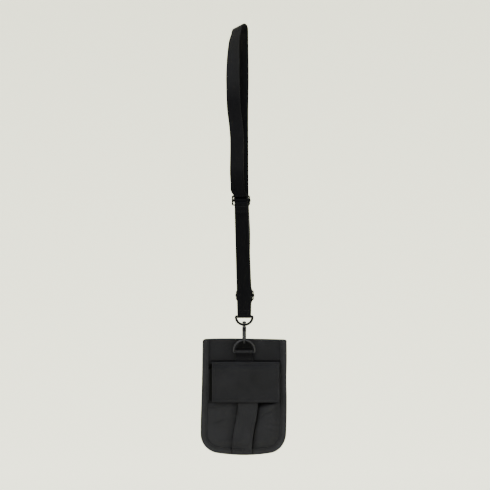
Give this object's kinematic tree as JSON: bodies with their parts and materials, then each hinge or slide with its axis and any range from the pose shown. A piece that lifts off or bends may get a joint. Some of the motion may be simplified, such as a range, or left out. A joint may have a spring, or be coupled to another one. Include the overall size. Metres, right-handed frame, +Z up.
{
  "type": "neck pouch wallet",
  "caption": "Flat black nylon neck pouch with a pleated flap pocket, hung by a D ring and a swivel snap hook from an adjustable webbing strap worn round the neck.",
  "frame": {"origin": "under the fold of the neck strap, where the strap hangs, on the plumb line of the swivel", "axes": "+Z up along the hanging strap, +X to the right seen from the front, the pouch's front faces -Y"},
  "size_m": [0.1168, 0.0272, 0.5948],
  "materials": {
    "webbing": "woven polyester webbing, slight sheen",
    "wire": "black coated steel wire, satin",
    "nickel": "black nickel plate, satin",
    "nylon": "coated nylon plain weave, matte",
    "binding": "woven binding tape, matte",
    "tape": "hook and loop tape, matte"
  },
  "bodies": {
    "strap": {"neck_webbing": "webbing", "tail_webbing": "webbing", "lower_webbing": "webbing"},
    "front_slider": {"front_slider_frame": "wire", "front_slider_bar": "wire"},
    "rear_slider": {"rear_slider_frame": "wire", "rear_slider_bar": "wire"},
    "bail": {"swivel_bail": "nickel"},
    "hook": {"swivel_rivet": "nickel", "hook_body": "nickel", "gate_pin": "nickel", "gate_spring": "nickel"},
    "gate": {"hook_gate": "nickel"},
    "ring": {"d_ring": "nickel"},
    "pouch": {"ring_tab": "webbing", "back_panel": "nylon", "front_panel": "nylon", "edge_binding": "binding", "pocket_panel": "nylon", "pocket_pleat": "nylon", "pocket_tape_left": "tape", "pocket_tape_right": "tape"},
    "flap": {"flap_outer": "nylon", "flap_lining": "nylon", "flap_tape_left": "tape", "flap_tape_right": "tape"}
  },
  "joints": [
    {"name": "front_slider_slide", "type": "slide", "parent": "strap", "child": "front_slider", "axis": [0, 0, 1], "range_m": [-0.045, 0.01], "deforming": ["tail_webbing", "lower_webbing"]},
    {"name": "rear_slider_slide", "type": "slide", "parent": "strap", "child": "rear_slider", "axis": [0, 0, 1], "range_m": [-0.008, 0.045], "deforming": ["tail_webbing", "lower_webbing"]},
    {"name": "bail_swing", "type": "hinge", "parent": "strap", "child": "bail", "pos_m": [0, 0, -0.403], "axis": [1, 0, 0], "range_deg": [-60, 60]},
    {"name": "hook_swivel", "type": "hinge", "parent": "bail", "child": "hook", "pos_m": [0, 0, -0.415], "axis": [0, 0, 1], "continuous": true},
    {"name": "gate_swing", "type": "hinge", "parent": "hook", "child": "gate", "pos_m": [0, -0.0039, -0.4212], "axis": [1, 0, 0], "range_deg": [0, 25], "stiffness_Nm_per_rad": 0.01, "springref_deg": -17.19, "deforming": ["gate_spring"]},
    {"name": "ring_swing", "type": "hinge", "parent": "hook", "child": "ring", "pos_m": [0, 0, -0.4377], "axis": [0, 1, 0], "range_deg": [-30, 30]},
    {"name": "pouch_swing", "type": "hinge", "parent": "ring", "child": "pouch", "pos_m": [0, 0.00616, -0.45291], "axis": [1, 0, 0], "range_deg": [-80, 0]},
    {"name": "flap_lift", "type": "hinge", "parent": "pouch", "child": "flap", "pos_m": [0.0022, 0.00436, -0.46651], "axis": [-1, 0, 0], "range_deg": [0, 110]}
  ]
}
